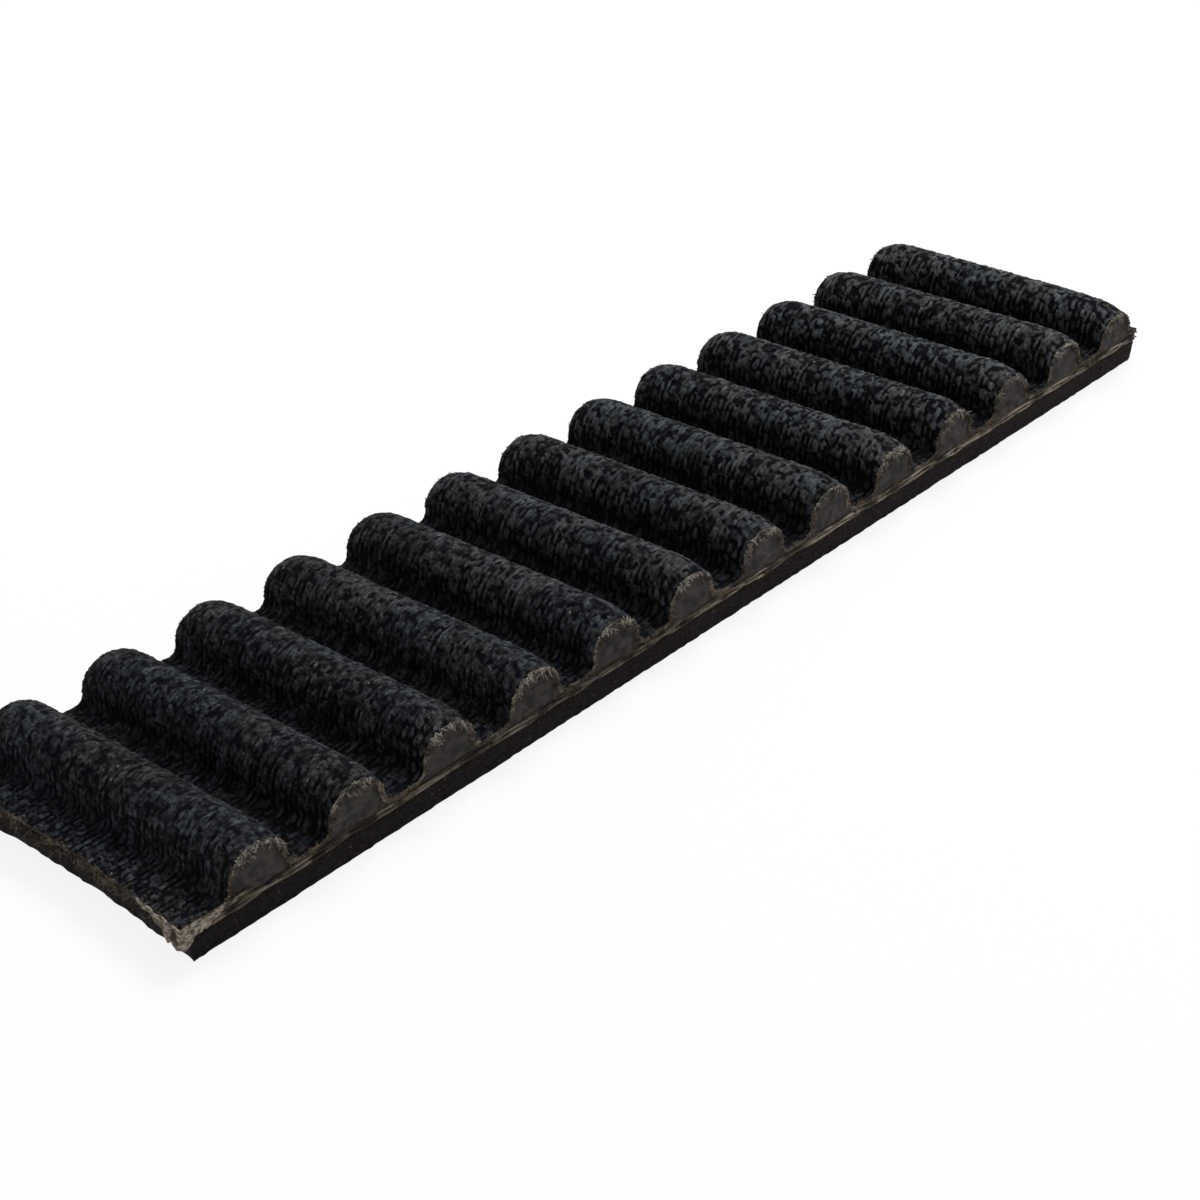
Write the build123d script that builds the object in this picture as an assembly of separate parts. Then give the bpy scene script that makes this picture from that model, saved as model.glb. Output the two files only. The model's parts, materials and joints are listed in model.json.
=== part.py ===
from build123d import *
from math import cos, degrees, radians, sin, tan
import os

# A cut length of round-tooth timing belt, lying on its back with its teeth up.
#
# A moulded timing belt has four kinds of piece, bonded to each other:
#   tooth_facing   woven nylon skin over the teeth and over the lands between them
#   tooth_core     solid rubber inside each tooth, under the skin
#   tension_cords  parallel glass-fibre cords on the pitch line, which carry the load
#   back_rubber    the rubber that holds the cords and makes the smooth back
#
# A belt bends only at its lands, so every tooth is one stiff block, joined to the next
# block by a living hinge on the pitch line, at the middle of the land between them.
# The layers are parted there by a slit shaped like an hourglass: its upper faces meet
# when the belt lies round the smallest pulley, and its lower faces when it lies round
# the smallest back-side idler.
#
# Frame, in millimetres: +X along the belt, +Y across its width, +Z from its back to its
# teeth. The origin is at the middle of the back face.

# Belt section
PITCH = 5.0
TOOTH_COUNT = 13
BELT_WIDTH = 15.0
BELT_HEIGHT = 3.81
TOOTH_HEIGHT = 2.08
TIP_RADIUS = 1.5
FLANK_ANGLE = 4.0
ROOT_RADIUS = 0.43
FACING_THICKNESS = 0.28

# Tension cords, and the rubber between them and the facing
CORD_DIAMETER = 0.45
CORD_SPACING = 0.75
CORD_COVER = 0.066

# Cut ends: length from the middle of the nearest tooth, and how far the leaning knife
# set back the bottom edge
START_LENGTH = 3.8
START_UNDERCUT = 0.4
END_LENGTH = 2.2
END_UNDERCUT = 0.5

# How far the lands bend, and the gap that is left where two blocks meet
SMALLEST_PULLEY_TEETH = 14
SMALLEST_IDLER_DIAMETER = 60.0
SLIT_WIDTH = 0.10

# Heights above the back
LAND_Z = BELT_HEIGHT - TOOTH_HEIGHT
RUBBER_TOP_Z = LAND_Z - FACING_THICKNESS
PITCH_LINE_Z = RUBBER_TOP_Z - CORD_COVER - CORD_DIAMETER / 2
TIP_CENTRE_Z = BELT_HEIGHT - TIP_RADIUS

# Bend of one land, in degrees
WRAP_ANGLE = 360.0 / SMALLEST_PULLEY_TEETH
BACK_ANGLE = degrees(PITCH / (SMALLEST_IDLER_DIAMETER / 2 + PITCH_LINE_Z))

BELT_LENGTH = START_LENGTH + (TOOTH_COUNT - 1) * PITCH + END_LENGTH
FIRST_TOOTH_X = START_LENGTH - BELT_LENGTH / 2
CORD_COUNT = 2 * int(BELT_WIDTH / 2 / CORD_SPACING) + 1

# Layers are drawn past every block's ends and top, and then cut to the block
OVERRUN_X = START_LENGTH + END_LENGTH + PITCH
OVERRUN_Z = BELT_HEIGHT + 1.0


def across(outline):
    """The solid of a side-view outline, taken right across the belt."""
    return extrude(Plane.XZ * outline, BELT_WIDTH / 2, both=True)


def flank_x(z, radius):
    """Half the width of a tooth of this tip radius, on its straight flank."""
    lean = radians(FLANK_ANGLE)
    return radius / cos(lean) + (TIP_CENTRE_Z - z) * tan(lean)


def tooth_tip(radius):
    """The round tip of a tooth, and where its arc runs into the right flank."""
    lean = radians(FLANK_ANGLE)
    x = radius * cos(lean)
    z = TIP_CENTRE_Z + radius * sin(lean)
    return ThreePointArc((-x, z), (0, TIP_CENTRE_Z + radius), (x, z)), x, z


def block_outline(first, last):
    """Side view of the space of one tooth block, between the slits at its two lands."""
    half = PITCH / 2 - SLIT_WIDTH / 2
    top_x = half - (OVERRUN_Z - PITCH_LINE_Z) * tan(radians(WRAP_ANGLE / 2))
    back_x = half - PITCH_LINE_Z * tan(radians(BACK_ANGLE / 2))
    left = [(-back_x, 0), (-half, PITCH_LINE_Z), (-top_x, OVERRUN_Z)]
    right = [(top_x, OVERRUN_Z), (half, PITCH_LINE_Z), (back_x, 0)]
    if first:
        left = [(START_UNDERCUT - START_LENGTH, 0), (-START_LENGTH, LAND_Z), (-START_LENGTH, OVERRUN_Z)]
    if last:
        right = [(END_LENGTH, OVERRUN_Z), (END_LENGTH, LAND_Z), (END_LENGTH - END_UNDERCUT, 0)]
    return make_face(Polyline(*left, *right, close=True))


def facing_outline():
    """The woven skin over one tooth and the lands beside it, with a fillet at each root."""
    lean = radians(FLANK_ANGLE)
    root_z = LAND_Z + ROOT_RADIUS * (1 - sin(lean))
    flank_end = flank_x(root_z, TIP_RADIUS)
    root_x = flank_end + ROOT_RADIUS * cos(lean)
    half_turn = radians(45 - FLANK_ANGLE / 2)
    fillet_x = root_x - ROOT_RADIUS * sin(half_turn)
    fillet_z = LAND_Z + ROOT_RADIUS * (1 - cos(half_turn))
    tip, tip_x, tip_z = tooth_tip(TIP_RADIUS)
    inner_tip, inner_x, inner_z = tooth_tip(TIP_RADIUS - FACING_THICKNESS)
    foot_x = flank_x(RUBBER_TOP_Z, TIP_RADIUS - FACING_THICKNESS)
    outer = [
        Line((-OVERRUN_X, LAND_Z), (-root_x, LAND_Z)),
        ThreePointArc((-root_x, LAND_Z), (-fillet_x, fillet_z), (-flank_end, root_z)),
        Line((-flank_end, root_z), (-tip_x, tip_z)),
        tip,
        Line((tip_x, tip_z), (flank_end, root_z)),
        ThreePointArc((flank_end, root_z), (fillet_x, fillet_z), (root_x, LAND_Z)),
        Line((root_x, LAND_Z), (OVERRUN_X, LAND_Z)),
        Line((OVERRUN_X, LAND_Z), (OVERRUN_X, RUBBER_TOP_Z)),
    ]
    inner = [
        Line((OVERRUN_X, RUBBER_TOP_Z), (foot_x, RUBBER_TOP_Z)),
        Line((foot_x, RUBBER_TOP_Z), (inner_x, inner_z)),
        inner_tip,
        Line((-inner_x, inner_z), (-foot_x, RUBBER_TOP_Z)),
        Line((-foot_x, RUBBER_TOP_Z), (-OVERRUN_X, RUBBER_TOP_Z)),
        Line((-OVERRUN_X, RUBBER_TOP_Z), (-OVERRUN_X, LAND_Z)),
    ]
    return make_face(Wire(outer + inner))


def core_outline():
    """The rubber inside one tooth, standing on the back rubber."""
    tip, tip_x, tip_z = tooth_tip(TIP_RADIUS - FACING_THICKNESS)
    foot_x = flank_x(RUBBER_TOP_Z, TIP_RADIUS - FACING_THICKNESS)
    return make_face(Wire([
        Line((-foot_x, RUBBER_TOP_Z), (-tip_x, tip_z)),
        tip,
        Line((tip_x, tip_z), (foot_x, RUBBER_TOP_Z)),
        Line((foot_x, RUBBER_TOP_Z), (-foot_x, RUBBER_TOP_Z)),
    ]))


def cord_set():
    """All the cords side by side. The knife that slit the belt to width halved the outer two."""
    first_y = -(CORD_COUNT - 1) / 2 * CORD_SPACING
    cord = extrude(Plane.YZ * Circle(CORD_DIAMETER / 2), OVERRUN_X, both=True)
    slit = Box(2 * OVERRUN_X, BELT_WIDTH, 2 * OVERRUN_Z)
    return [
        (Pos(0, first_y + number * CORD_SPACING, PITCH_LINE_Z) * cord) & slit
        for number in range(CORD_COUNT)
    ]


def layers(block, cords):
    """The four pieces of one tooth block, by name, with the block at the origin."""
    on_floor = (Align.CENTER, Align.CENTER, Align.MIN)
    slab = Box(2 * OVERRUN_X, BELT_WIDTH, RUBBER_TOP_Z, align=on_floor)
    return {
        "tooth_facing": across(facing_outline()) & block,
        "tooth_core": across(core_outline()) & block,
        "tension_cords": Compound(children=[(cord & block).solid() for cord in cords]),
        "back_rubber": (slab & block) - Compound(children=cords),
    }


os.makedirs("parts", exist_ok=True)
for tooth in range(1, TOOTH_COUNT + 1):
    block = across(block_outline(tooth == 1, tooth == TOOTH_COUNT))
    place = Pos(FIRST_TOOTH_X + (tooth - 1) * PITCH, 0, 0)
    for name, piece in layers(block, cord_set()).items():
        export_step(place * piece, f"parts/{name}_{tooth:02d}.step")

print(f"belt {BELT_LENGTH:.2f} x {BELT_WIDTH:.2f} x {BELT_HEIGHT:.2f}, first tooth at {FIRST_TOOTH_X:.3f}")
print(f"pitch line at {PITCH_LINE_Z:.4f}, each land bends {WRAP_ANGLE:.2f} and {BACK_ANGLE:.2f} degrees")
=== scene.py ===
import json
from itertools import product
from math import cos, pi, radians, sin, tan

import bmesh
import bpy
import numpy as np
from mathutils import Matrix, Vector


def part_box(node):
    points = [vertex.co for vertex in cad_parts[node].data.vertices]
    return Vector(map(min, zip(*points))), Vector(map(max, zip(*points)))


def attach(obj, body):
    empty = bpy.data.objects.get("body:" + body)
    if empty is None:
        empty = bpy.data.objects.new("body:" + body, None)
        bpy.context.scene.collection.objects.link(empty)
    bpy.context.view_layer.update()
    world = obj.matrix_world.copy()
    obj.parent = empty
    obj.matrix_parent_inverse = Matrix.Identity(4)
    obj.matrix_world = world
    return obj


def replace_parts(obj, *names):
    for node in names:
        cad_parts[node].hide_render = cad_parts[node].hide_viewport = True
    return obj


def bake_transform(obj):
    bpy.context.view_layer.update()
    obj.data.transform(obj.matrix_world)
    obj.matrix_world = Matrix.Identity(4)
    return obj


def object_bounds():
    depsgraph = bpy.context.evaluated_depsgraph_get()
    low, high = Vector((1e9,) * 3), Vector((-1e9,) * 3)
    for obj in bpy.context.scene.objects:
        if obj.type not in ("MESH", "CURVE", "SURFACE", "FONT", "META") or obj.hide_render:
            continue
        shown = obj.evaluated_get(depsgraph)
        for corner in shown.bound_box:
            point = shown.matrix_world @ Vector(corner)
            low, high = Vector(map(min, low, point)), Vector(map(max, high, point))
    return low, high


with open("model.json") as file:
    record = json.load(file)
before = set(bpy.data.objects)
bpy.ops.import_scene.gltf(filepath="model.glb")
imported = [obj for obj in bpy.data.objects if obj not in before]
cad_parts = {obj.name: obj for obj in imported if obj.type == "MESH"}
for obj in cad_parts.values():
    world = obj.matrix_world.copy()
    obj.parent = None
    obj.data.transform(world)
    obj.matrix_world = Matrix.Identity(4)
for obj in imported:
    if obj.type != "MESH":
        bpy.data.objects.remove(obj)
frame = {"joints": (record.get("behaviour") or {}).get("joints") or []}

cad_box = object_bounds()
bpy.ops.object.select_all(action="DESELECT")

# ---------------------------------------------------------------------------------------
# Tooth rubber: the solid rubber of each tooth, moulded in one with the belt. Its two slit
# faces are knife cut, so they are matte, slightly hollow and faintly scored.
# ---------------------------------------------------------------------------------------
MM = 0.001
lands = sorted(joint["pos_m"][0] for joint in frame["joints"])
PITCH = lands[1] - lands[0]
TOOTH_X = [lands[0] - PITCH / 2 + number * PITCH for number in range(len(lands) + 1)]
HALF_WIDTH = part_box("back_rubber_07")[1].y
RUBBER_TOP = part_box("back_rubber_07")[1].z
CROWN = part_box("tooth_facing_07")[1].z
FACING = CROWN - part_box("tooth_core_07")[1].z
LAND = RUBBER_TOP + FACING
TIP_RADIUS = 1.5 * MM
TIP_CENTRE = CROWN - TIP_RADIUS
ROOT_RADIUS = 0.43 * MM
LEAN = radians(4.0)
CORE_RECESS = 0.03 * MM
EDGE_WEAR = 0.19
EDGE_WEAR_WIDTH = 1.5 * MM
LAST_WEAR = 0.12
LAST_WEAR_START = 2.5 * MM
LAST_WEAR_WIDTH = 5 * MM
SLIT_HOLLOW = 0.028 * MM
KNIFE_CHATTER = 0.012 * MM

# Where the round tip ends, where the root fillet begins, and where the land begins
TIP_END_Z = TIP_CENTRE + TIP_RADIUS * sin(LEAN)
ROOT_START_Z = LAND + ROOT_RADIUS * (1 - sin(LEAN))
ROOT_START_X = TIP_RADIUS / cos(LEAN) + (TIP_CENTRE - ROOT_START_Z) * tan(LEAN)
LAND_START_X = ROOT_START_X + ROOT_RADIUS * cos(LEAN)
FLANK_LENGTH = (TIP_END_Z - ROOT_START_Z) / cos(LEAN)


def edit():
    bpy.ops.object.mode_set(mode="EDIT")


def done(name):
    """Leaves edit mode, puts the place of the new piece into its mesh, and names it."""
    bpy.ops.object.mode_set(mode="OBJECT")
    piece = bpy.context.object
    bpy.ops.object.transform_apply(location=True, rotation=True, scale=True)
    piece.name = piece.data.name = name
    return piece


def pick(kind, wanted):
    """In edit mode, selects only the faces, edges or verts for which wanted says so."""
    modes = {"faces": "FACE", "edges": "EDGE", "verts": "VERT"}
    bpy.ops.mesh.select_mode(type=modes[kind])
    bpy.ops.mesh.select_all(action="DESELECT")
    mesh = bmesh.from_edit_mesh(bpy.context.object.data)
    for item in getattr(mesh, kind):
        item.select_set(bool(wanted(item)))
    mesh.select_flush_mode()
    bmesh.update_edit_mesh(bpy.context.object.data)


def pen_down(x, y, z):
    """One lone point, from which a side view is drawn."""
    bpy.ops.mesh.primitive_plane_add(size=MM, location=(x, y, z))
    edit()
    bpy.ops.mesh.select_mode(type="VERT")
    bpy.ops.mesh.select_all(action="SELECT")
    bpy.ops.mesh.merge(type="CENTER")


def pen_line(dx, dz, steps=1):
    for _ in range(steps):
        bpy.ops.mesh.extrude_region_move(TRANSFORM_OT_translate={"value": (dx / steps, 0, dz / steps)})


def pen_arc(x, y, z, angle, steps):
    """Turns the point about (x, z). A positive angle takes +Z towards +X."""
    bpy.ops.mesh.spin(steps=steps, angle=-angle, center=(x, y, z), axis=(0, 1, 0), use_auto_merge=False)


def tooth_up(x, y, steps):
    """Draws one half tooth from the land on its -X side up to its crown."""
    pen_arc(x - LAND_START_X, y, LAND + ROOT_RADIUS, LEAN - pi / 2, steps // 3)
    pen_line(FLANK_LENGTH * sin(LEAN), FLANK_LENGTH * cos(LEAN), steps // 8)
    pen_arc(x, y, TIP_CENTRE, pi / 2 - LEAN, steps)


def tooth_down(x, y, steps):
    """Draws one half tooth from its crown down to the land on its +X side."""
    pen_arc(x, y, TIP_CENTRE, pi / 2 - LEAN, steps)
    pen_line(FLANK_LENGTH * sin(LEAN), -FLANK_LENGTH * cos(LEAN), steps // 8)
    pen_arc(x + LAND_START_X, y, LAND + ROOT_RADIUS, LEAN - pi / 2, steps // 3)


def copy_of(piece, name, shift):
    """A copy with its own mesh, moved along the belt."""
    made = piece.copy()
    made.data = piece.data.copy()
    made.name = made.data.name = name
    bpy.context.collection.objects.link(made)
    place = points(made)
    place[:, 0] += shift
    set_points(made, place)
    return made


def points(piece):
    place = np.zeros(len(piece.data.vertices) * 3)
    piece.data.vertices.foreach_get("co", place)
    return place.reshape(-1, 3)


def set_points(piece, place):
    piece.data.vertices.foreach_set("co", place.ravel())
    piece.data.update()


def keep_place(piece):
    """Keeps where each point was made, so that the finish bends with the belt."""
    kept = piece.data.attributes.new("made_at", "FLOAT_VECTOR", "POINT")
    kept.data.foreach_set("vector", points(piece).ravel())
    return piece


def worn_height(x, y, z):
    """The crowns are rubbed down towards the slit sides, most of all on the last tooth."""
    rub = EDGE_WEAR * np.clip((np.abs(y) - HALF_WIDTH) / EDGE_WEAR_WIDTH + 1, 0, 1) ** 2
    on_last = x > TOOTH_X[-1] - PITCH / 2
    rub = rub + on_last * LAST_WEAR * np.clip((-y - LAST_WEAR_START) / LAST_WEAR_WIDTH, 0, 1) ** 2
    return z - rub * np.maximum(z - LAND, 0)


def dice(seed, *cells):
    """A repeatable random number from 0 to 1 for each whole-number cell."""
    mixed = seed * 74.7
    for cell, factor in zip(cells, (127.1, 311.7, 191.3)):
        mixed = mixed + cell * factor
    return np.modf(np.abs(np.sin(mixed)) * 43758.5453)[0]


def noise(seed, *place):
    """Smooth random relief from -1 to 1, with bumps about one unit apart."""
    low = [np.floor(p) for p in place]
    part = [p - q for p, q in zip(place, low)]
    total = 0.0
    for corner in product((0, 1), repeat=len(place)):
        weight = 1.0
        for step, p in zip(corner, part):
            eased = p * p * (3 - 2 * p)
            weight = weight * (eased if step else 1 - eased)
        total = total + weight * dice(seed, *[q + step for q, step in zip(low, corner)])
    return 2 * total - 1


def add_node(material, kind, inputs, **settings):
    """A shader node with its settings. An input is a number or another node's output."""
    made = material.node_tree.nodes.new(kind)
    for key, value in settings.items():
        setattr(made, key, value)
    for key, value in inputs.items():
        if isinstance(value, bpy.types.NodeSocket):
            material.node_tree.links.new(value, made.inputs[key])
        else:
            made.inputs[key].default_value = value
    return made


def new_finish(name, colour, roughness, bump, bump_depth):
    """A material. colour, roughness and bump are functions that build their own nodes."""
    material = bpy.data.materials.new(name)
    material.use_nodes = True
    shader = material.node_tree.nodes["Principled BSDF"]
    link = material.node_tree.links.new
    link(colour(material), shader.inputs["Base Color"])
    link(roughness(material), shader.inputs["Roughness"])
    raised = add_node(material, "ShaderNodeBump", {"Height": bump(material), "Distance": bump_depth})
    link(raised.outputs[0], shader.inputs["Normal"])
    return material, shader


def made_at(material):
    return add_node(material, "ShaderNodeAttribute", {}, attribute_name="made_at").outputs["Vector"]


def place_on(material, scale, turn=0.0):
    """Where the piece was made, stretched by scale along X, Y and Z and turned in the side view."""
    mapping = {"Vector": made_at(material), "Scale": scale, "Rotation": (0, turn, 0)}
    return add_node(material, "ShaderNodeMapping", mapping).outputs[0]


def made_height(material):
    return add_node(material, "ShaderNodeSeparateXYZ", {0: made_at(material)}).outputs["Z"]


def mottle(material, where, scale, detail=3.0, rough=0.6):
    inputs = {"Vector": where, "Scale": scale, "Detail": detail, "Roughness": rough}
    return add_node(material, "ShaderNodeTexNoise", inputs).outputs[0]


def span(material, value, low, high, to_low=0.0, to_high=1.0):
    """value, from low to high, eased to a number from to_low to to_high."""
    inputs = {"Value": value, "From Min": low, "From Max": high, "To Min": to_low, "To Max": to_high}
    return add_node(material, "ShaderNodeMapRange", inputs, interpolation_type="SMOOTHSTEP").outputs[0]


def sums(material, operation, first, second):
    return add_node(material, "ShaderNodeMath", {0: first, 1: second}, operation=operation).outputs[0]


def mixed(material, share, first, second):
    """A colour between first and second."""
    inputs = {0: share}
    inputs[6] = first if isinstance(first, bpy.types.NodeSocket) else (*first, 1)
    inputs[7] = second if isinstance(second, bpy.types.NodeSocket) else (*second, 1)
    return add_node(material, "ShaderNodeMix", inputs, data_type="RGBA").outputs[2]


def cut_rubber_colour(material):
    cloudy = span(material, mottle(material, place_on(material, (1, 1, 1)), 1900), 0.38, 0.62)
    grey = mixed(material, cloudy, (0.011, 0.0095, 0.009), (0.034, 0.029, 0.0265))
    scored = mottle(material, place_on(material, (300, 300, 6500), radians(28)), 1)
    scored = span(material, scored, 0.6, 0.75, 0, 0.5)
    grey = mixed(material, scored, grey, (0.075, 0.07, 0.065))
    speck = span(material, mottle(material, place_on(material, (1, 1, 1)), 7500, 1.0), 0.72, 0.78)
    return mixed(material, speck, grey, (0.16, 0.15, 0.135))


def cut_rubber_sheen(material):
    return span(material, mottle(material, place_on(material, (1, 1, 1)), 2500), 0.3, 0.7, 0.62, 0.85)


def cut_rubber_bump(material):
    scored = mottle(material, place_on(material, (400, 400, 5000), radians(28)), 1)
    return sums(material, "ADD", scored, mottle(material, place_on(material, (1, 1, 1)), 6000))


cut_rubber, rubber_shader = new_finish(
    "cut_rubber", cut_rubber_colour, cut_rubber_sheen, cut_rubber_bump, 0.02 * MM)
rubber_shader.inputs["Specular IOR Level"].default_value = 0.2

half_core = HALF_WIDTH - CORE_RECESS
pen_down(-LAND_START_X, -half_core, RUBBER_TOP)
tooth_up(0, -half_core, 12)
tooth_down(0, -half_core, 12)
bpy.ops.mesh.select_all(action="SELECT")
bpy.ops.mesh.edge_face_add()
bpy.ops.mesh.extrude_region_move(TRANSFORM_OT_translate={"value": (0, 2 * half_core, 0)})
for side in (-1, 1):
    for cut in np.linspace(-1.6, 1.6, 15):
        pick("faces", lambda face: face.normal.y * side > 0.9)
        bpy.ops.mesh.bisect(plane_co=(cut * MM, 0, 0), plane_no=(1, 0, 0))
    for cut in np.linspace(1.62, 3.35, 9):
        pick("faces", lambda face: face.normal.y * side > 0.9)
        bpy.ops.mesh.bisect(plane_co=(0, 0, cut * MM), plane_no=(0, 0, 1))
for cut in (-7, -6.6, -6.2, -5.8, -5, -4, -3, 5.8, 6.2, 6.6, 7):
    bpy.ops.mesh.select_all(action="SELECT")
    bpy.ops.mesh.bisect(plane_co=(0, cut * MM, 0), plane_no=(0, 1, 0))
bpy.ops.mesh.select_all(action="SELECT")
bpy.ops.mesh.normals_make_consistent(inside=False)
first_core = done("tooth_rubber")
first_core.data.materials.append(cut_rubber)

for number, x in enumerate(TOOTH_X, start=1):
    core = copy_of(first_core, f"tooth_rubber_{number:02d}", x)
    place = points(core)
    on_side = np.abs(place[:, 1]) > half_core - 0.001 * MM
    waves = noise(number, place[:, 0] / (0.55 * MM), place[:, 2] / (0.4 * MM), np.sign(place[:, 1]))
    chatter = noise(40 + number, (place[:, 0] + place[:, 2]) / (0.3 * MM), np.sign(place[:, 1]))
    scored = np.sign(place[:, 1]) * (SLIT_HOLLOW * waves + KNIFE_CHATTER * chatter)
    place[on_side, 1] += scored[on_side]
    place[:, 2] = worn_height(*place.T)
    set_points(core, place)
    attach(keep_place(core), f"tooth_{number:02d}")
    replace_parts(core, f"tooth_core_{number:02d}")
bpy.data.objects.remove(first_core)

# ---------------------------------------------------------------------------------------
# Tooth facing: black nylon cloth of textured stretch yarn, moulded over the teeth and the
# lands. Long floats run along the belt, and the crowns are worn and napped. Each piece
# goes from one crown to the next, across the land between them.
# ---------------------------------------------------------------------------------------
WALE = 0.34
FLOAT = 0.68
RELIEF = 0.11 * MM
ROWS_ACROSS = 240
EDGE_ROWS = 30
CROOKED_LENGTH = 2.6 * MM
CROOKED_BULGE = 0.62 * MM
CROOKED_SPAN = 18 * MM
BARE_START = 1.7 * MM
START_X = cad_box[0].x
FAR_X = cad_box[1].x
ARC_STEPS = 27
TIP_LENGTH = TIP_RADIUS * (pi / 2 - LEAN)
ROOT_LENGTH = TIP_LENGTH + FLANK_LENGTH + ROOT_RADIUS * (pi / 2 - LEAN)
CLOTH_PITCH = 2 * (ROOT_LENGTH + PITCH / 2 - LAND_START_X)


def on_skin(x, z):
    """Cloth length from the start of the belt, and the outward direction, at points of the skin."""
    tooth = np.clip(np.rint((x - TOOTH_X[0]) / PITCH), 0, len(TOOTH_X) - 1)
    away = x - TOOTH_X[0] - tooth * PITCH
    side = np.where(away < 0, -1.0, 1.0)
    away = np.abs(away)
    tip = np.arctan2(z - TIP_CENTRE, away)
    root = np.arctan2(LAND_START_X - away, LAND + ROOT_RADIUS - z)
    where = [z >= TIP_END_Z, z >= ROOT_START_Z, away < LAND_START_X]
    length = np.select(where, [
        TIP_RADIUS * (pi / 2 - tip),
        TIP_LENGTH + (TIP_END_Z - z) / cos(LEAN),
        ROOT_LENGTH - ROOT_RADIUS * root,
    ], ROOT_LENGTH + away - LAND_START_X)
    out_x = side * np.select(where, [np.cos(tip), cos(LEAN), np.sin(root)], 0.0)
    out_z = np.select(where, [np.sin(tip), sin(LEAN), np.cos(root)], 1.0)
    return tooth * CLOTH_PITCH + side * length, out_x, out_z


def crooked_cut(place):
    """The start was cut freehand, so it runs out of square and bulges inwards."""
    near = np.clip((START_X - place[:, 0]) / CROOKED_LENGTH + 1, 0, 1)
    bulge = CROOKED_BULGE * np.sin(pi * (place[:, 1] + HALF_WIDTH) / CROOKED_SPAN)
    ragged = 0.05 * MM * noise(19, place[:, 1] / (0.4 * MM)) * near ** 4
    place[:, 0] += near * (bulge + ragged)
    return place


def weave(u, v, high):
    """Height of the cloth from 0 to 1, and each stitch's own random number, at u, v in mm."""
    u = u + 0.07 * noise(7, u / 0.2, v / 0.16) + 0.12 * noise(8, u / 1.5, v / 1.1)
    v = v + 0.055 * noise(9, u / 0.17, v / 0.2) + 0.10 * noise(10, u / 0.9, v / 1.3)
    across = v / WALE
    wale = np.floor(across)
    a = across - wale - 0.5
    along = u / FLOAT + 0.5 * wale + 0.6 * dice(2, wale)
    stitch = np.floor(along)
    b = along - stitch - 0.5
    chance = dice(4, wale, stitch)
    width = 0.75 + 0.25 * dice(5, wale, stitch)
    bulge = np.cos(pi * np.clip(a / width, -0.5, 0.5)) ** 0.7
    float_yarn = (0.55 + 0.45 * chance) * bulge * (1 - np.abs(2 * b) ** 3)
    cross_yarn = (0.2 + 0.4 * dice(16, wale, stitch)) * np.exp(-((np.abs(b) - 0.5) / 0.13) ** 2)
    strands = np.maximum(float_yarn, cross_yarn) + 0.12 * noise(6, u / 0.3, v / 0.09)
    tufts = 0.5 + 0.62 * noise(17, u / 0.24, v / 0.17) + 0.25 * noise(18, u / 0.10, v / 0.09)
    share = 0.55 * high ** 2
    return np.clip((1 - share) * strands + share * tufts, 0, 1), chance


def cloth_place(material, scale):
    """The cloth's own coordinates, along and across its threads."""
    flat = add_node(material, "ShaderNodeUVMap", {}, uv_map="cloth").outputs[0]
    return add_node(material, "ShaderNodeMapping", {"Vector": flat, "Scale": scale}).outputs[0]


def cloth_value(material, name):
    return add_node(material, "ShaderNodeAttribute", {}, attribute_name=name).outputs["Fac"]


def times(material, first, second):
    inputs = {0: 1.0, 6: first, 7: second}
    return add_node(material, "ShaderNodeMix", inputs, data_type="RGBA", blend_type="MULTIPLY").outputs[2]


def along_belt(material):
    """0 at the start of the belt, where it is darker, easing to 1 at its paler far end."""
    along = add_node(material, "ShaderNodeSeparateXYZ", {0: made_at(material)}).outputs["X"]
    return span(material, along, START_X, FAR_X)


def cloth_colour(material):
    along = along_belt(material)
    hairs = mottle(material, cloth_place(material, (170, 700, 1)), 1, 4.0, 0.7)
    hairs = span(material, hairs, 0.36, 0.66)
    yarn = mixed(material, hairs, (0.015, 0.0155, 0.0165), (0.063, 0.065, 0.068))
    bright = mixed(material, cloth_value(material, "stitch"), (0.55, 0.55, 0.55), (1.3, 1.3, 1.3))
    patch = span(material, mottle(material, place_on(material, (1, 1, 1)), 260), 0.4, 0.65)
    tinted = mixed(material, patch, (0.95, 1.0, 1.02), (1.06, 1.0, 0.94))
    yarn = times(material, times(material, yarn, bright), tinted)
    # Real wear and painted shade: the worn crowns are paler, and the valleys are painted darker as shade
    # between the teeth, less so near the start of the belt.
    worn = span(material, cloth_value(material, "worn"), 0.2, 0.9)
    valley_painted_shade = mixed(material, span(material, along, 0.0, 0.6), (0.78, 0.79, 0.82), (0.38, 0.385, 0.40))
    yarn = times(material, yarn, mixed(material, worn, valley_painted_shade, (1.22, 1.23, 1.24)))
    yarn = times(material, yarn, mixed(material, along, (0.68, 0.69, 0.73), (1.46, 1.46, 1.45)))
    blotch = mottle(material, place_on(material, (1, 1, 1)), 4600, 2.0, 0.7)
    blotch = span(material, blotch, 0.36, 0.62, 0.25, 1.3)
    yarn = times(material, yarn, mixed(material, span(material, along, 0.0, 0.8), blotch, (1, 1, 1)))
    # Painted light: nearer the start of the belt, more of the weave reaches the lit yarn colour rather
    # than the near-black of its low parts.
    flat = span(material, along, 0.0, 0.7, 0.07, 0.0)
    lit = span(material, sums(material, "ADD", cloth_value(material, "height"), flat), 0.32, 0.60)
    cloth = mixed(material, lit, (0.0007, 0.0009, 0.0022), yarn)
    fleck = span(material, mottle(material, cloth_place(material, (260, 420, 1)), 1, 2.0), 0.70, 0.78)
    fleck = sums(material, "MULTIPLY", fleck, worn)
    return mixed(material, fleck, cloth, (0.24, 0.235, 0.22))


def cloth_sheen(material):
    return span(material, mottle(material, cloth_place(material, (120, 300, 1)), 1), 0.3, 0.7, 0.72, 0.95)


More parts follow.
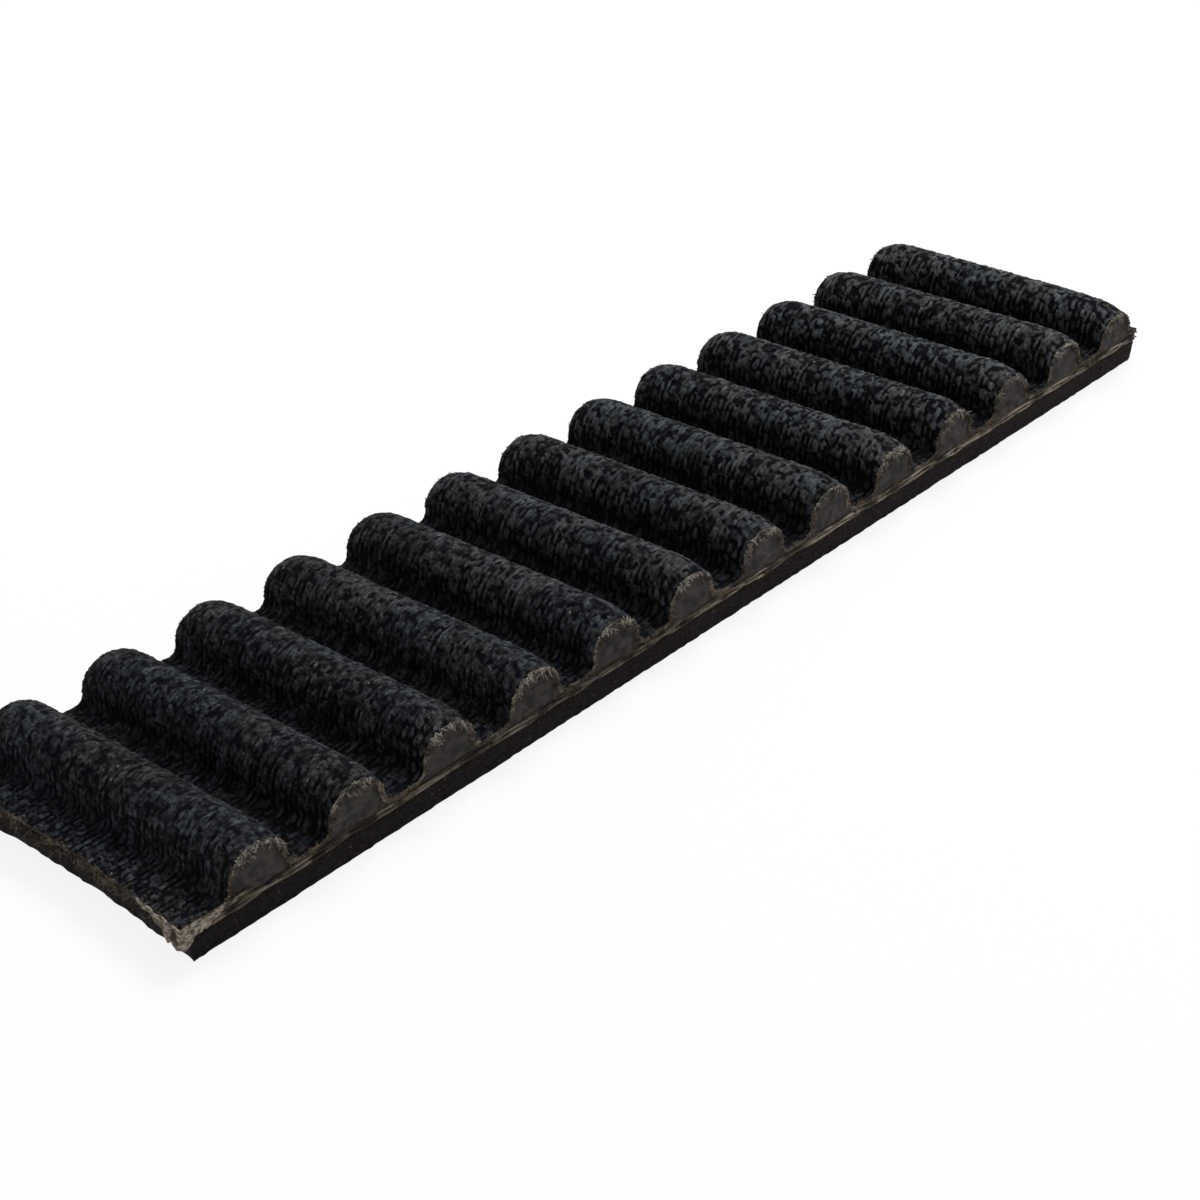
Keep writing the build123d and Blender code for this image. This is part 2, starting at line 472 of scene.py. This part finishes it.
def cloth_bump(material):
    fibres = mottle(material, cloth_place(material, (110, 900, 1)), 1, 4.0)
    return sums(material, "ADD", fibres, mottle(material, cloth_place(material, (500, 500, 1)), 1))


cloth, cloth_shader = new_finish("facing_cloth", cloth_colour, cloth_sheen, cloth_bump, 0.05 * MM)
cloth_shader.inputs["Specular IOR Level"].default_value = 0.05


def cut_cloth_colour(material):
    fibre = mottle(material, place_on(material, (2200, 2200, 5200)), 1, 4.0, 0.7)
    worn = span(material, mottle(material, place_on(material, (1, 1, 1)), 900), 0.35, 0.65)
    height = made_height(material)
    high = span(material, height, 2.3 * MM, 3.6 * MM)
    dark = mixed(material, high, (0.045, 0.035, 0.026), (0.10, 0.09, 0.078))
    light = mixed(material, high, (0.19, 0.152, 0.112), (0.46, 0.42, 0.36))
    pale = sums(material, "MULTIPLY", worn, span(material, fibre, 0.4, 0.62))
    edge = mixed(material, pale, dark, light)
    return mixed(material, span(material, fibre, 0.5, 0.36), edge, (0.012, 0.011, 0.010))


def cut_cloth_bump(material):
    return mottle(material, place_on(material, (3000, 3000, 9000)), 1, 4.0)


def plain_rough(material):
    return span(material, mottle(material, place_on(material, (1, 1, 1)), 3000), 0.3, 0.7, 0.8, 0.95)


cut_cloth, edge_shader = new_finish(
    "facing_cut_edge", cut_cloth_colour, plain_rough, cut_cloth_bump, 0.06 * MM)
edge_shader.inputs["Specular IOR Level"].default_value = 0.1


def finish_facing_sheet(name):
    """Gives a side view drawn in edit mode its width, its thickness and its rows across."""
    bpy.ops.mesh.select_all(action="SELECT")
    bpy.ops.mesh.extrude_region_move(TRANSFORM_OT_translate={"value": (0, 2 * HALF_WIDTH, 0)})
    sheet = done(name)
    if sum(face.normal.z * face.area for face in sheet.data.polygons) < 0:
        sheet.data.flip_normals()
    sheet.data.materials.append(cloth)
    sheet.data.materials.append(cut_cloth)
    thick = sheet.modifiers.new("thickness", "SOLIDIFY")
    thick.thickness = FACING
    thick.offset = -1
    thick.use_even_offset = True
    thick.material_offset = 1
    thick.material_offset_rim = 1
    bpy.ops.object.modifier_apply(modifier=thick.name)
    edit()
    pick("edges", lambda edge: abs(edge.verts[0].co.y - edge.verts[1].co.y) > HALF_WIDTH
         and any(face.material_index == 0 for face in edge.link_faces))
    bpy.ops.mesh.subdivide(number_cuts=ROWS_ACROSS - 1)
    pick("edges", lambda edge: abs(edge.verts[0].co.y - edge.verts[1].co.y) > HALF_WIDTH)
    bpy.ops.mesh.subdivide(number_cuts=EDGE_ROWS - 1)
    bpy.ops.object.mode_set(mode="OBJECT")
    return sheet


def raise_weave(sheet):
    """Raises the threads of the skin, and keeps what the cloth's finish reads."""
    mesh = sheet.data
    skin = np.zeros(len(mesh.vertices), bool)
    for face in mesh.polygons:
        if face.material_index == 0:
            skin[list(face.vertices)] = True
    place = points(sheet)
    x, y, z = place[skin].T
    u, out_x, out_z = on_skin(x, z)
    v = y + HALF_WIDTH
    high = np.clip((z - LAND) / (CROWN - LAND), 0, 1)
    height, stitch = weave(u / MM, v / MM, high)
    step = 0.02
    slope_u = weave(u / MM + step, v / MM, high)[0] - weave(u / MM - step, v / MM, high)[0]
    slope_v = weave(u / MM, v / MM + step, high)[0] - weave(u / MM, v / MM - step, high)[0]
    slope_u = slope_u * RELIEF / (2 * step * MM)
    slope_v = slope_v * RELIEF / (2 * step * MM)
    place[skin, 0] += out_x * (height - 0.75) * RELIEF
    place[skin, 2] += out_z * (height - 0.75) * RELIEF
    place[:, 2] = worn_height(*place.T)
    set_points(sheet, place)
    rise = worn_height(x, y + 0.1 * MM, z) - worn_height(x, y - 0.1 * MM, z)
    slope_v = slope_v + rise / (0.2 * MM) * out_z

    facing_out = np.zeros((len(place), 3))
    facing_out[skin] = np.stack([out_x - slope_u * out_z, -slope_v, out_z + slope_u * out_x], 1)
    facing_out[skin] /= np.linalg.norm(facing_out[skin], axis=1)[:, None]
    corner = np.zeros(len(mesh.loops), int)
    mesh.loops.foreach_get("vertex_index", corner)
    of_skin = np.zeros(len(mesh.loops), bool)
    for face in mesh.polygons:
        if face.material_index == 0:
            of_skin[face.loop_start:face.loop_start + face.loop_total] = True

    cloth_map = np.zeros((len(place), 2))
    cloth_map[skin] = np.stack([u, v], 1) / (100 * MM)
    mesh.uv_layers.new(name="cloth").data.foreach_set("uv", cloth_map[corner].ravel())
    # Painted light: the start land away from the first tooth counts as worn, so it takes the paler crown
    # colour.
    start_land_painted_light = np.clip((TOOTH_X[0] - BARE_START - x) / (0.9 * MM), 0, 1)
    for name, value in (("height", height), ("stitch", stitch), ("worn", np.maximum(high, start_land_painted_light))):
        kept = np.zeros(len(place))
        kept[skin] = value
        mesh.attributes.new(name, "FLOAT", "POINT").data.foreach_set("value", kept)
    mesh.shade_smooth()
    mesh.normals_split_custom_set(np.where(of_skin[:, None], facing_out[corner], 0).tolist())


def bend_over(piece):
    """Keeps where each point of a piece that spans the land after this tooth was made, and puts its place
    into its mesh.
    """
    keep_place(piece)
    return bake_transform(piece)


pen_down(0, -HALF_WIDTH, CROWN)
tooth_down(0, -HALF_WIDTH, ARC_STEPS)
pen_line(PITCH - 2 * LAND_START_X, 0, 14)
tooth_up(PITCH, -HALF_WIDTH, ARC_STEPS)
first_facing = finish_facing_sheet("facing")
for number in range(1, len(TOOTH_X)):
    facing = copy_of(first_facing, f"facing_{number:02d}_{number + 1:02d}", TOOTH_X[number - 1])
    raise_weave(facing)
    bend_over(facing)
    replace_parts(facing, f"tooth_facing_{number + 1:02d}")
bpy.data.objects.remove(first_facing)

pen_down(START_X, -HALF_WIDTH, LAND)
pen_line(TOOTH_X[0] - LAND_START_X - START_X, 0, 24)
tooth_up(TOOTH_X[0], -HALF_WIDTH, ARC_STEPS)
facing = finish_facing_sheet("facing_start")
raise_weave(facing)
set_points(facing, crooked_cut(points(facing)))
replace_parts(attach(keep_place(facing), "tooth_01"), "tooth_facing_01")

pen_down(TOOTH_X[-1], -HALF_WIDTH, CROWN)
tooth_down(TOOTH_X[-1], -HALF_WIDTH, ARC_STEPS)
pen_line(FAR_X - TOOTH_X[-1] - LAND_START_X, 0, 3)
facing = finish_facing_sheet("facing_far_end")
raise_weave(facing)
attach(keep_place(facing), "tooth_13")

# ---------------------------------------------------------------------------------------
# Back rubber: the black rubber that holds the cords and makes the smooth ground back. The
# slitting knife left its sides scored, with tan cord smeared along the pitch line.
# ---------------------------------------------------------------------------------------
PITCH_LINE = frame["joints"][0]["pos_m"][2]
OPENED_LINE = PITCH_LINE + 0.06 * MM
BACK_ROWS = 12
BACK_STEP = 0.12 * MM
EASED_EDGE = 0.07 * MM
END_CUTS = 60
START_SET_BACK = 0.4 * MM
FAR_SET_BACK = 0.5 * MM


def paler(material):
    """How pale the bared cord is: darker over the first half of the belt."""
    return span(material, along_belt(material), 0.25, 0.65, 0.52, 1.0)


def back_colour(material):
    height = made_height(material)
    grain = span(material, mottle(material, place_on(material, (1, 1, 1)), 8000, 3.0, 0.7), 0.4, 0.7)
    black = mixed(material, grain, (0.0042, 0.0033, 0.0032), (0.019, 0.0155, 0.0145))
    black = times(material, black, mixed(material, along_belt(material), (1, 1, 1), (1.6, 1.6, 1.6)))
    speck = span(material, mottle(material, place_on(material, (1, 1, 1)), 5200, 1.0), 0.68, 0.75)
    black = mixed(material, speck, black, (0.07, 0.058, 0.048))
    drift = mottle(material, place_on(material, (500, 500, 0)), 1, 2.0)
    drift = sums(material, "MULTIPLY", sums(material, "SUBTRACT", drift, 0.5), 0.25 * MM)
    level = sums(material, "ADD", height, drift)
    streak = mottle(material, place_on(material, (700, 700, 14000)), 1, 4.0, 0.65)
    low = span(material, level, 1.02 * MM, 1.10 * MM)
    from_crack = sums(material, "ABSOLUTE", sums(material, "SUBTRACT", level, 1.22 * MM), 0)
    crack = span(material, from_crack, 0.02 * MM, 0.07 * MM)
    band = sums(material, "MULTIPLY", low, crack)
    band = sums(material, "MULTIPLY", band, span(material, streak, 0.38, 0.62))
    streak = span(material, streak, 0.45, 0.7)
    tan_smear = mixed(material, streak, (0.04, 0.032, 0.025), (0.26, 0.217, 0.168))
    return mixed(material, band, black, times(material, tan_smear, paler(material)))


def back_bump(material):
    scored = mottle(material, place_on(material, (600, 600, 9000)), 1, 3.0)
    return sums(material, "ADD", scored, mottle(material, place_on(material, (1, 1, 1)), 9000))


ground_rubber, ground_shader = new_finish("back_rubber", back_colour, plain_rough, back_bump, 0.035 * MM)
ground_shader.inputs["Specular IOR Level"].default_value = 0.08


def back_slab(name, x0, x1):
    """A length of the back rubber, with its lower edges eased and its sides in small faces."""
    middle = ((x0 + x1) / 2, 0, RUBBER_TOP / 2)
    bpy.ops.mesh.primitive_cube_add(size=1, location=middle, scale=(x1 - x0, 2 * HALF_WIDTH, RUBBER_TOP))
    done(name)
    edit()

    def runs_along(edge):
        return abs(edge.verts[0].co.x - edge.verts[1].co.x) > 0.5 * (x1 - x0)

    pick("edges", lambda edge: runs_along(edge) and edge.verts[0].co.z < 0.1 * MM)
    bpy.ops.mesh.bevel(offset=EASED_EDGE, segments=2, affect="EDGES")
    pick("edges", runs_along)
    bpy.ops.mesh.subdivide(number_cuts=round((x1 - x0) / BACK_STEP))
    pick("edges", lambda edge: all(abs(v.co.y) > HALF_WIDTH - 0.01 * MM for v in edge.verts)
         and abs(edge.verts[0].co.z - edge.verts[1].co.z) > 0.5 * MM)
    bpy.ops.mesh.subdivide(number_cuts=BACK_ROWS)
    bpy.ops.object.mode_set(mode="OBJECT")
    slab = bpy.context.object
    slab.data.materials.append(ground_rubber)
    place = points(slab)
    side = np.sign(place[:, 1])
    on_side = np.abs(place[:, 1]) > HALF_WIDTH - 0.01 * MM
    x, z = place[:, 0], place[:, 2]
    score = 0.020 * noise(11, x / (0.9 * MM), z / (0.16 * MM), side)
    score = score + 0.012 * noise(12, x / (0.25 * MM), z / (0.2 * MM), side)
    groove = -0.10 * np.exp(-((z - OPENED_LINE) / (0.14 * MM)) ** 2)
    place[on_side, 1] += (side * (score + groove) * MM)[on_side]
    low = z < 0.12 * MM
    place[low, 1] += (side * 0.03 * noise(13, x / (0.3 * MM), side) * MM)[low]
    set_points(slab, place)
    return slab


def shear_end(slab, end_x, set_back):
    """Leans the cut face of an end in under the belt, and leaves it torn and uneven."""
    edit()
    for cut in np.linspace(-7.3, 7.3, END_CUTS):
        bpy.ops.mesh.select_all(action="SELECT")
        bpy.ops.mesh.bisect(plane_co=(0, cut * MM, 0), plane_no=(0, 1, 0))
    for cut in (0.3, 0.6, 0.9, 1.2):
        pick("faces", lambda face: all(abs(v.co.x - end_x) < 0.001 * MM for v in face.verts))
        bpy.ops.mesh.bisect(plane_co=(0, 0, cut * MM), plane_no=(0, 0, 1))
    bpy.ops.object.mode_set(mode="OBJECT")
    place = points(slab)
    inward = -1.0 if end_x > 0 else 1.0
    at_end = np.abs(place[:, 0] - end_x) < 0.001 * MM
    y, z = place[:, 1] / MM, place[:, 2]
    lean = set_back * (1 - z / LAND)
    torn = 0.06 + 0.05 * noise(14, y / 0.5, z / (0.5 * MM))
    torn = torn + 0.03 * noise(15, y / 0.17, z / (0.3 * MM))
    place[at_end, 0] += (inward * (lean + torn * MM))[at_end]
    near_end = ~at_end & (np.abs(place[:, 0] - end_x) < 2 * set_back)
    squeeze = 1 - np.abs(place[:, 0] - end_x) / (2 * set_back)
    place[near_end, 0] += (inward * (lean + 0.06 * MM) * squeeze)[near_end]
    set_points(slab, place)


for number in range(1, len(TOOTH_X)):
    back = back_slab(f"back_{number:02d}_{number + 1:02d}", TOOTH_X[number - 1], TOOTH_X[number])
    bend_over(back)
    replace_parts(back, f"back_rubber_{number + 1:02d}")
back = back_slab("back_start", START_X, TOOTH_X[0])
shear_end(back, START_X, START_SET_BACK)
set_points(back, crooked_cut(points(back)))
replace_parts(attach(keep_place(back), "tooth_01"), "back_rubber_01")
back = back_slab("back_far_end", TOOTH_X[-1], FAR_X)
shear_end(back, FAR_X, FAR_SET_BACK)
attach(keep_place(back), "tooth_13")

# ---------------------------------------------------------------------------------------
# Tension cords: treated glass-fibre cords, side by side in the rubber on the pitch line.
# The two outermost were sliced open when the belt was slit, so their strands show.
# ---------------------------------------------------------------------------------------
cord_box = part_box("tension_cords_07")
CORD_RADIUS = (cord_box[1].z - cord_box[0].z) / 2
CORD_SPACING = 0.75 * MM
INNER_CORDS = 2 * int(HALF_WIDTH / CORD_SPACING) - 1
STRAND_RADIUS = 0.075 * MM
STRAND_SWING = 0.105 * MM
STRAND_TURN = 9.5 * MM
STRAND_SINK = 0.045 * MM


def yarn_colour(material):
    fibre = mottle(material, place_on(material, (900, 2500, 9000), radians(20)), 1, 4.0, 0.7)
    fibre = span(material, fibre, 0.35, 0.65)
    tan_yarn = mixed(material, fibre, (0.08, 0.065, 0.049), (0.40, 0.34, 0.265))
    stain = span(material, mottle(material, place_on(material, (1, 1, 1)), 700), 0.42, 0.62)
    return times(material, mixed(material, stain, tan_yarn, (0.05, 0.037, 0.027)), paler(material))


def yarn_bump(material):
    return mottle(material, place_on(material, (1500, 4000, 12000), radians(20)), 1, 3.0)


yarn, yarn_shader = new_finish("cord_yarn", yarn_colour, plain_rough, yarn_bump, 0.04 * MM)
yarn_shader.inputs["Specular IOR Level"].default_value = 0.1


def tubes(name, routes, radius, resolution, material, taper=1.0):
    """Round threads along these routes, each a list of points, made one mesh."""
    line = bpy.data.curves.new(name, "CURVE")
    line.dimensions = "3D"
    line.bevel_depth = radius
    line.bevel_resolution = resolution
    line.use_fill_caps = True
    for route in routes:
        thread = line.splines.new("POLY")
        thread.points.add(len(route) - 1)
        thread.points.foreach_set("co", np.c_[route, np.ones(len(route))].ravel())
        thread.points.foreach_set("radius", np.linspace(1, taper, len(route)))
    made = bpy.data.objects.new(name, line)
    bpy.context.collection.objects.link(made)
    bpy.ops.object.select_all(action="DESELECT")
    made.select_set(True)
    bpy.context.view_layer.objects.active = made
    bpy.ops.object.convert(target="MESH")
    made = bpy.context.object
    made.data.name = name
    made.data.materials.append(material)
    made.data.shade_smooth()
    return made


def torn_colour(material):
    fibre = mottle(material, place_on(material, (4000, 4000, 9000)), 1, 4.0, 0.7)
    pale = mixed(material, span(material, fibre, 0.4, 0.62), (0.10, 0.078, 0.058), (0.36, 0.31, 0.25))
    stain = span(material, mottle(material, place_on(material, (1, 1, 1)), 1600), 0.5, 0.62)
    return mixed(material, stain, pale, (0.05, 0.04, 0.032))


torn_layer, torn_shader = new_finish("torn_cord_layer", torn_colour, plain_rough, yarn_bump, 0.06 * MM)
torn_shader.inputs["Specular IOR Level"].default_value = 0.1


def cord_set(name, x0, x1):
    """All the cords of one length of belt: whole ones inside, and loose strands at the two sides."""
    xs = np.linspace(x0, x1, 2 + round((x1 - x0) / (0.25 * MM)))
    routes = []
    for number in range(INNER_CORDS):
        y = (number - (INNER_CORDS - 1) / 2) * CORD_SPACING
        routes.append(np.stack([xs, np.full_like(xs, y), np.full_like(xs, PITCH_LINE)], 1))
    inner = tubes(name, routes, CORD_RADIUS, 1, yarn)
    xs = np.linspace(x0, x1, 2 + round((x1 - x0) / (0.1 * MM)))
    routes = []
    for side in (-1, 1):
        for strand in range(2):
            turn = 2 * pi * (xs / STRAND_TURN + strand / 2) + 1.4 * noise(21 + side, xs / (2.5 * MM))
            swing = STRAND_SWING * (1 + 0.4 * noise(24 + strand, xs / (0.7 * MM), np.full_like(xs, side)))
            y = side * (HALF_WIDTH - STRAND_SINK) + 0.35 * swing * np.cos(turn)
            z = OPENED_LINE + swing * np.sin(turn)
            routes.append(np.stack([xs, y, z], 1))
    outer = tubes(name + "_strands", routes, STRAND_RADIUS, 1, yarn)
    bpy.ops.object.select_all(action="DESELECT")
    outer.select_set(True)
    inner.select_set(True)
    bpy.context.view_layer.objects.active = inner
    bpy.ops.object.join()
    return inner


for number in range(1, len(TOOTH_X)):
    cords = cord_set(f"cords_{number:02d}_{number + 1:02d}", TOOTH_X[number - 1], TOOTH_X[number])
    bend_over(cords)
    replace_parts(cords, f"tension_cords_{number + 1:02d}")
cords = cord_set("cords_start", START_X + 0.16 * MM, TOOTH_X[0])
set_points(cords, crooked_cut(points(cords)))
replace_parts(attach(keep_place(cords), "tooth_01"), "tension_cords_01")
cords = cord_set("cords_far_end", TOOTH_X[-1], FAR_X - 0.17 * MM)
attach(keep_place(cords), "tooth_13")

# ---------------------------------------------------------------------------------------
# Frayed edge of the facing: where the slitting knife cut the cloth, broken nylon ends stand
# out along both sides. They are pale and thick on the worn crowns, and tan along the lands.
# ---------------------------------------------------------------------------------------
FRAYS_PER_MM = 38
FRAY_RADIUS = 0.036 * MM
FAR_SIDE_REACH = 0.55


def fray_colour(material):
    height = made_height(material)
    high = span(material, height, 2.2 * MM, 3.7 * MM)
    tan_end = mixed(material, high, (0.14, 0.112, 0.084), (0.44, 0.405, 0.35))
    dark_end = mixed(material, high, (0.03, 0.025, 0.02), (0.06, 0.056, 0.05))
    tuft = span(material, mottle(material, place_on(material, (1, 1, 1)), 1700, 3.0), 0.42, 0.57)
    streak = span(material, mottle(material, place_on(material, (1, 1, 1)), 14000, 2.0), 0.25, 0.6)
    return mixed(material, sums(material, "MULTIPLY", tuft, streak), dark_end, tan_end)


def fray_bump(material):
    return mottle(material, place_on(material, (1, 1, 1)), 26000)


fray, fray_shader = new_finish("frayed_nylon", fray_colour, plain_rough, fray_bump, 0.01 * MM)
fray_shader.inputs["Specular IOR Level"].default_value = 0.1


def fibre(start, heading, length, curl, chance):
    """One broken yarn end: a short curved line of five points."""
    heading = heading / np.linalg.norm(heading)
    aside = np.cross(heading, chance.normal(size=3))
    aside = aside / np.linalg.norm(aside)
    along = np.linspace(0, 1, 5)[:, None]
    return start + length * (along * heading + curl * along ** 2 * aside)


def skin_point(length):
    """The point of the skin this far along the cloth, and its outward direction, in the side view."""
    tooth = min(max(round(length / CLOTH_PITCH), 0), len(TOOTH_X) - 1)
    away = length - tooth * CLOTH_PITCH
    side = -1 if away < 0 else 1
    away = abs(away)
    if away < TIP_LENGTH:
        angle = away / TIP_RADIUS
        x, z = TIP_RADIUS * sin(angle), TIP_CENTRE + TIP_RADIUS * cos(angle)
        out_x, out_z = sin(angle), cos(angle)
    elif away < TIP_LENGTH + FLANK_LENGTH:
        down = away - TIP_LENGTH
        x = TIP_RADIUS * cos(LEAN) + down * sin(LEAN)
        z = TIP_END_Z - down * cos(LEAN)
        out_x, out_z = cos(LEAN), sin(LEAN)
    elif away < ROOT_LENGTH:
        angle = (ROOT_LENGTH - away) / ROOT_RADIUS
        x = LAND_START_X - ROOT_RADIUS * sin(angle)
        z = LAND + ROOT_RADIUS * (1 - cos(angle))
        out_x, out_z = sin(angle), cos(angle)
    else:
        x, z, out_x, out_z = LAND_START_X + away - ROOT_LENGTH, LAND, 0.0, 1.0
    return np.array([TOOTH_X[0] + tooth * PITCH + side * x, 0, z]), np.array([side * out_x, 0, out_z])


def edge_frays(name, first, last, seed):
    """Frays on both slit edges of the cloth, from one length along it to another."""
    chance = np.random.default_rng(seed)
    routes = []
    for side in (-1, 1):
        clump = chance.uniform(0, 100)
        for length in chance.uniform(first, last, int((last - first) / MM * FRAYS_PER_MM)):
            start, out = skin_point(length)
            high = min(max((start[2] - LAND) / (CROWN - LAND), 0), 1)
            thick = 0.5 + 0.5 * float(noise(31, np.float64(length / (0.5 * MM)), np.float64(clump)))
            if chance.random() > 0.12 + 0.95 * thick ** 1.5:
                continue
            depth = chance.uniform(0.0, 0.9) * FACING
            start = start - out * depth + np.array([0, side * (HALF_WIDTH - 0.03 * MM), 0])
            around = np.array([out[2], 0, -out[0]])
            start[2] = worn_height(*start)
            heading = 0.5 * np.array([0, side, 0]) + chance.normal(0, 0.7) * around
            heading = heading + out * chance.uniform(-1.1, 0.15) + np.array([0, 0, -0.35])
            reach = chance.uniform(0.07, 0.2) + 0.34 * high * thick
            if side > 0:
                reach *= FAR_SIDE_REACH
            routes.append(fibre(start, heading, reach * MM, chance.uniform(0.2, 0.7), chance))
    return tubes(name, routes, FRAY_RADIUS, 0, fray, 0.35)


for number in range(1, len(TOOTH_X)):
    start = (number - 1) * CLOTH_PITCH
    frays = edge_frays(f"frays_{number:02d}_{number + 1:02d}", start, start + CLOTH_PITCH, 300 + number)
    bend_over(frays)
start = START_X - TOOTH_X[0] + LAND_START_X - ROOT_LENGTH
frays = edge_frays("frays_start", start, 0, 300)
set_points(frays, crooked_cut(points(frays)))
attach(keep_place(frays), "tooth_01")
start = (len(TOOTH_X) - 1) * CLOTH_PITCH
frays = edge_frays("frays_far_end", start, start + FAR_X - TOOTH_X[-1] + ROOT_LENGTH - LAND_START_X, 320)
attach(keep_place(frays), "tooth_13")

# ---------------------------------------------------------------------------------------
# Torn ends: where the belt was cut to length, tufts of cloth and cord hang over both end
# faces, and at the near corner of the start a flap of the cord layer has peeled away.
# ---------------------------------------------------------------------------------------
TUFT_RADIUS = 0.032 * MM
FLAP_THICKNESS = 0.07 * MM


def end_tufts(name, end_x, count, seed):
    chance = np.random.default_rng(seed)
    outward = 1 if end_x > 0 else -1
    routes = []
    for y in chance.uniform(-HALF_WIDTH, HALF_WIDTH, count):
        if float(noise(33, np.float64(y / (0.8 * MM)))) < chance.uniform(-1, 0.4):
            continue
        start = np.array([end_x - outward * 0.05 * MM, y, LAND - chance.uniform(0.02, 0.6) * MM])
        out = outward * chance.uniform(0.1, 0.8)
        heading = np.array([out, chance.normal(0, 0.8), chance.normal(-0.5, 0.4)])
        length = chance.uniform(0.12, 0.42) * MM
        routes.append(fibre(start, heading, length, chance.uniform(0.2, 0.8), chance))
    return tubes(name, routes, TUFT_RADIUS, 0, fray, 0.4)


tufts = end_tufts("tufts_start", START_X, 700, 401)
set_points(tufts, crooked_cut(points(tufts)))
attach(keep_place(tufts), "tooth_01")
tufts = end_tufts("tufts_far_end", FAR_X, 500, 402)
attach(keep_place(tufts), "tooth_13")

bpy.ops.mesh.primitive_grid_add(x_subdivisions=90, y_subdivisions=14, size=1)
flap = done("peeled_corner")
flap.data.materials.append(torn_layer)
place = points(flap)
along = (-2.8 + 6.2 * (place[:, 0] + 0.5)) * MM
down = place[:, 1] + 0.5
reach = 0.62 * np.exp(-(along / (1.5 * MM)) ** 2) + 0.12
reach = reach * (1 + 0.3 * noise(35, along / (0.6 * MM)) + 0.2 * noise(36, along / (0.2 * MM)))
lifted = 0.05 + 0.20 * down ** 2 * np.exp(-(along / (0.9 * MM)) ** 2)
lifted = (lifted + 0.03 * noise(37, along / (0.4 * MM), down * 3)) * MM
place[:, 0] = START_X + np.where(along < 0, -lifted, along - 0.03 * MM)
place[:, 1] = -HALF_WIDTH + np.where(along < 0, -along, -lifted)
place[:, 2] = LAND - 0.03 * MM - reach * MM * down
set_points(flap, crooked_cut(place))
thick = flap.modifiers.new("thickness", "SOLIDIFY")
thick.thickness = FLAP_THICKNESS
thick.offset = 0
bpy.ops.object.modifier_apply(modifier=thick.name)
flap.data.shade_smooth()
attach(keep_place(flap), "tooth_01")

# ---------------------------------------------------------------------------------------
# The studio: a plain pale floor that keeps a faint shadow, an even white surround, one soft
# lamp high up beyond the far end, and the camera.
# ---------------------------------------------------------------------------------------
SHADOWLESS = 0.86
SURROUND = 0.5

bpy.ops.mesh.primitive_plane_add(size=3.0, location=(0, 0, -0.02 * MM))
floor = done("floor")
white = bpy.data.materials.new("white_floor")
white.use_nodes = True
lit_floor = white.node_tree.nodes["Principled BSDF"]
lit_floor.inputs["Base Color"].default_value = (0.97, 0.97, 0.97, 1)
lit_floor.inputs["Roughness"].default_value = 0.9
lit_floor.inputs["Specular IOR Level"].default_value = 0.0
seen = add_node(white, "ShaderNodeLightPath", {})
seen = sums(white, "MAXIMUM", seen.outputs["Is Camera Ray"], seen.outputs["Is Glossy Ray"])
glow = add_node(white, "ShaderNodeEmission", {"Color": (1, 1, 1, 1), "Strength": 1.0})
share = {0: sums(white, "MULTIPLY", seen, SHADOWLESS), 1: lit_floor.outputs[0], 2: glow.outputs[0]}
floor_mix = add_node(white, "ShaderNodeMixShader", share)
surface = white.node_tree.nodes["Material Output"].inputs["Surface"]
white.node_tree.links.new(floor_mix.outputs[0], surface)
floor.data.materials.append(white)

world = bpy.data.worlds.new("studio")
world.use_nodes = True
bpy.context.scene.world = world
background = world.node_tree.nodes["Background"]
background.inputs["Color"].default_value = (1, 1, 1, 1)
seen = add_node(world, "ShaderNodeLightPath", {})
seen = sums(world, "MAXIMUM", seen.outputs["Is Camera Ray"], seen.outputs["Is Glossy Ray"])
strength = sums(world, "MAXIMUM", seen, SURROUND)
world.node_tree.links.new(strength, background.inputs["Strength"])


lamp = bpy.data.lights.new("overhead", "AREA")
lamp.shape = "DISK"
lamp.size = 0.22
lamp.energy = 1.55
stand = bpy.data.objects.new("overhead", lamp)
stand.location = (0.27, 0.07, 0.34)
stand.rotation_euler = (-stand.location).to_track_quat("-Z", "Y").to_euler()
bpy.context.collection.objects.link(stand)

# The camera looks at the belt from its near slit side and its start
AZIMUTH = radians(42.76)
ELEVATION = radians(30.45)
ROLL = radians(-2.40)
DISTANCE = 22.63 * PITCH
TARGET = Vector((TOOTH_X[0] + 5.727 * PITCH, -HALF_WIDTH + 1.76 * PITCH, -0.559 * PITCH))
ahead = Vector((cos(AZIMUTH) * cos(ELEVATION), sin(AZIMUTH) * cos(ELEVATION), -sin(ELEVATION)))
right = Vector((sin(AZIMUTH), -cos(AZIMUTH), 0))
upward = right.cross(ahead)
right, upward = cos(ROLL) * right + sin(ROLL) * upward, cos(ROLL) * upward - sin(ROLL) * right
lens = bpy.data.cameras.new("camera")
lens.sensor_width = 36
lens.lens = 71.3
lens.clip_start = 0.005
camera = bpy.data.objects.new("camera", lens)
bpy.context.collection.objects.link(camera)
turned = Matrix((right, upward, -ahead)).transposed().to_4x4()
camera.matrix_world = Matrix.Translation(TARGET - ahead * DISTANCE) @ turned
bpy.context.scene.camera = camera
bpy.context.scene.view_settings.view_transform = "Standard"
